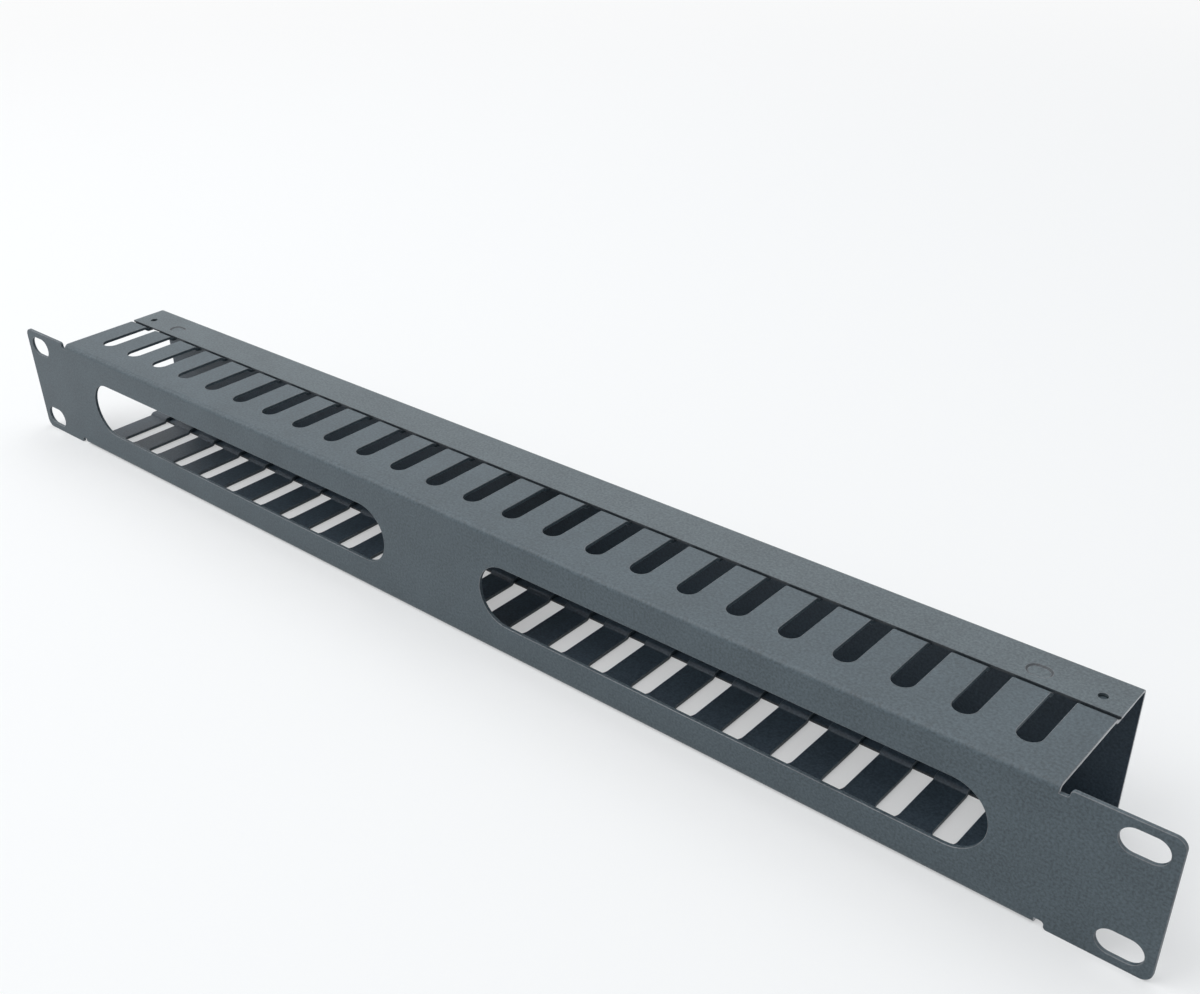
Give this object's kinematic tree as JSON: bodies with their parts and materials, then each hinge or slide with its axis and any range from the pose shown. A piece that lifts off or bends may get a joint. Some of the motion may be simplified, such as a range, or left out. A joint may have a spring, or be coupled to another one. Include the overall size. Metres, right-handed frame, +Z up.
{
  "type": "horizontal cable manager",
  "caption": "One-unit 19-inch rack panel folded into a finger duct with open ends, two long plate windows and slotted ears, closed by a clip-on channel cover.",
  "frame": {"origin": "centre of the plate's outer face, which bears on the rack posts", "axes": "+X along the panel, +Y from the plate through the duct to the cover, +Z up"},
  "size_m": [0.4826, 0.0485, 0.0444],
  "materials": {
    "panel_coat": "fine-textured satin powder coat",
    "cover_coat": "fine-textured satin powder coat"
  },
  "bodies": {
    "panel": {"slotted_panel": "panel_coat"},
    "cover": {"clip_on_cover": "cover_coat"}
  },
  "joints": [
    {"name": "cover_pull", "type": "slide", "parent": "panel", "child": "cover", "axis": [0, 1, 0], "range_m": [0, 0.04]}
  ]
}
